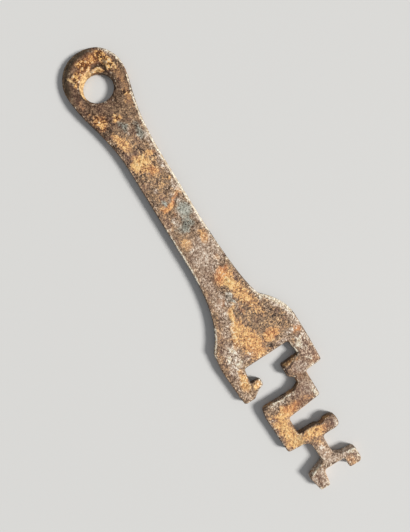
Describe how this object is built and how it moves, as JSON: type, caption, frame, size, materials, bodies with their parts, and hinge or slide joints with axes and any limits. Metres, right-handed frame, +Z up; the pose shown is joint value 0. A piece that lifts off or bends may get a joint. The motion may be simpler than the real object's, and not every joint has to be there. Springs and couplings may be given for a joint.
{
  "type": "flat padlock key",
  "caption": "Flat forged metal key with a round eyed bow, a straight shank and a flared plate cut into a hooked slot, a stepped comb and a forked tip.",
  "frame": {"origin": "the point of the resting face under the middle of the key's bounding box", "axes": "+X along the key from the eye to the forked tip, +Y across the key towards the side that carries the tab and the neck of the comb, +Z up out of the face that the key lies on"},
  "size_m": [0.1408, 0.0258, 0.0025],
  "materials": {
    "rusted_metal": "old forged metal with a dull brown skin, ochre and orange crust, blue-grey patches and paler worn edges"
  },
  "bodies": {
    "root": {"key": "rusted_metal"}
  },
  "joints": []
}
